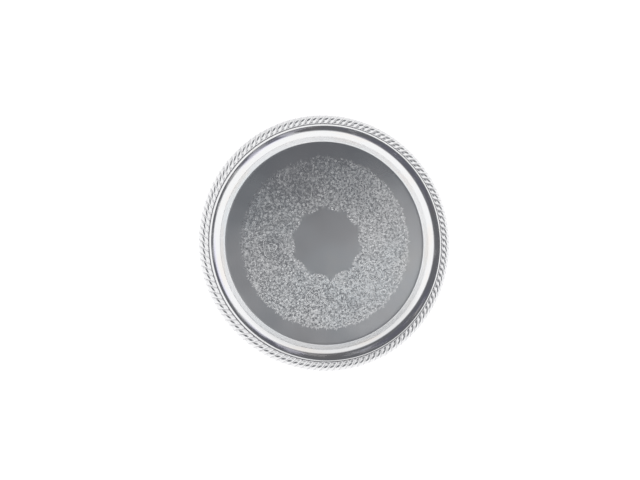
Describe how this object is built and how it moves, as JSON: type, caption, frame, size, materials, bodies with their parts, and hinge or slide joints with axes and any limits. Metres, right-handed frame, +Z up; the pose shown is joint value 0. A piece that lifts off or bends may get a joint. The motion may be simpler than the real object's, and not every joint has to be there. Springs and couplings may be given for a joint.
{
  "type": "serving tray",
  "caption": "Round silver salver with a flat engraved well, curved booge, plain flange and slanted gadroon border, standing on its flat underside.",
  "frame": {"origin": "centre of the flat underside, on the surface the salver stands on", "axes": "+Z up along the salver's axis; the salver is round, so X and Y are any two directions in the plane it stands on"},
  "size_m": [0.3174, 0.3174, 0.0163],
  "materials": {
    "polished_silver": "mirror polished silver plate with fine handling scratches",
    "struck_silver": "bright struck silver plate, darker in the valleys",
    "drawn_silver_wire": "bright drawn wire, silver plated",
    "solder": "dull soft solder"
  },
  "bodies": {
    "root": {"tray_pan": "polished_silver", "inner_bead_wire": "drawn_silver_wire", "outer_edge_wire": "drawn_silver_wire", "border_mount_1": "struck_silver", "border_mount_2": "struck_silver", "border_mount_3": "struck_silver", "border_mount_4": "struck_silver", "border_mount_5": "struck_silver", "border_mount_6": "struck_silver", "border_solder_fill_1": "solder", "border_solder_fill_2": "solder", "border_solder_fill_3": "solder", "border_solder_fill_4": "solder", "border_solder_fill_5": "solder", "border_solder_fill_6": "solder"}
  },
  "joints": []
}
